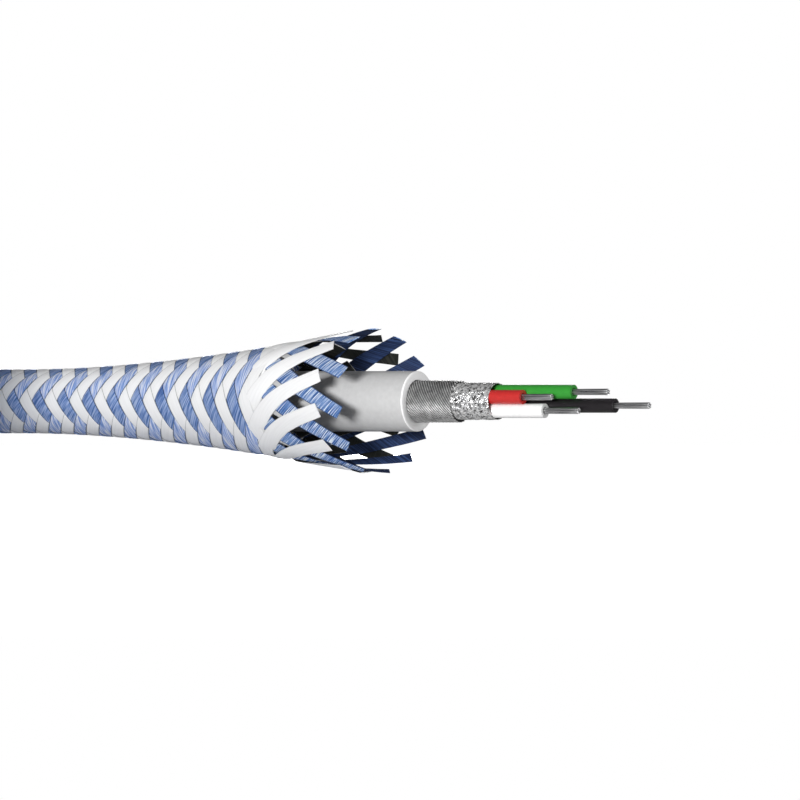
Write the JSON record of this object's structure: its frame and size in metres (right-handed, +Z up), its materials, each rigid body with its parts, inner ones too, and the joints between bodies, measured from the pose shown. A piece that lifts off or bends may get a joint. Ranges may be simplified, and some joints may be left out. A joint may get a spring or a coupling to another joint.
{
  "type": "screened audio cable",
  "caption": "Screened multi-core cable in a woven sleeve, stripped back in steps at one end, coiled and ending in a jack plug with a screw-on barrel.",
  "frame": {"origin": "on the cable's axis at the jacket's cut face, the point that the strip lengths are measured from", "axes": "+X along the cable towards the stripped wires, +Z up; the surface that the part lies on is 6.3 mm below the origin"},
  "size_m": [0.1358, 0.1015, 0.0217],
  "materials": {
    "barrel_metal": "satin with knurled grip",
    "tinned_wire": "drawn tinned copper wire",
    "black_core_plastic": "smooth extruded",
    "blue_tape": "woven tape with pale cross threads",
    "woven_sleeve": "woven white and blue tapes",
    "chuck_plastic": "moulded",
    "tie_fabric": "hook and loop",
    "terminal_brass": "tinned brass, satin",
    "foil": "crinkled foil",
    "insulator_board": "pressed board",
    "green_core_plastic": "smooth extruded",
    "liner_plastic": "thin tube",
    "jacket_plastic": "satin extruded",
    "red_core_plastic": "smooth extruded",
    "plug_nickel": "polished nickel",
    "insulator_black": "moulded",
    "boot_rubber": "matt",
    "white_core_plastic": "smooth extruded",
    "white_tape": "satin woven tape",
    "screen_wire": "fine tinned wires"
  },
  "bodies": {
    "root": {"black_conductor": "tinned_wire", "black_insulation": "black_core_plastic", "blue_tape_end_01": "blue_tape", "blue_tape_end_02": "blue_tape", "blue_tape_end_03": "blue_tape", "blue_tape_end_04": "blue_tape", "blue_tape_end_05": "blue_tape", "blue_tape_end_06": "blue_tape", "blue_tape_end_07": "blue_tape", "blue_tape_end_08": "blue_tape", "blue_tape_end_09": "blue_tape", "blue_tape_end_10": "blue_tape", "blue_tape_end_11": "blue_tape", "blue_tape_end_12": "blue_tape", "braided_sleeve": "woven_sleeve", "cable_coil": "woven_sleeve", "cable_lead_in": "woven_sleeve", "cable_tail": "woven_sleeve", "coil_tie": "tie_fabric", "earth_clamp": "terminal_brass", "foil_wrap": "foil", "front_lug_insulator": "insulator_board", "green_conductor": "tinned_wire", "green_insulation": "green_core_plastic", "insulating_liner": "liner_plastic", "jacket": "jacket_plastic", "rear_lug_insulator": "insulator_board", "red_conductor": "tinned_wire", "red_insulation": "red_core_plastic", "ring_contact": "plug_nickel", "ring_insulator": "insulator_black", "ring_lug": "terminal_brass", "sleeve_contact": "plug_nickel", "tip_contact": "plug_nickel", "tip_insulator": "insulator_black", "tip_lug": "terminal_brass", "white_conductor": "tinned_wire", "white_insulation": "white_core_plastic", "white_tape_end_01": "white_tape", "white_tape_end_02": "white_tape", "white_tape_end_03": "white_tape", "white_tape_end_04": "white_tape", "white_tape_end_05": "white_tape", "white_tape_end_06": "white_tape", "white_tape_end_07": "white_tape", "white_tape_end_08": "white_tape", "white_tape_end_09": "white_tape", "white_tape_end_10": "white_tape", "white_tape_end_11": "white_tape", "white_tape_end_12": "white_tape", "wire_screen": "screen_wire"},
    "chuck": {"cable_chuck": "chuck_plastic", "strain_relief_boot": "boot_rubber"},
    "barrel": {"barrel": "barrel_metal"}
  },
  "joints": [
    {"name": "barrel_travel", "type": "slide", "parent": "root", "child": "chuck", "axis": [-1, 0, 0], "range_m": [0, 0.005]},
    {"name": "barrel_turn", "type": "hinge", "parent": "chuck", "child": "barrel", "pos_m": [-0.0385, -0.08868, 0.0002], "axis": [-1, 0, 0], "range_deg": [0, 2376]}
  ],
  "couplings": [
    {"joint": "barrel_travel", "follows": "barrel_turn", "m_per_rad": 0.00011937}
  ]
}
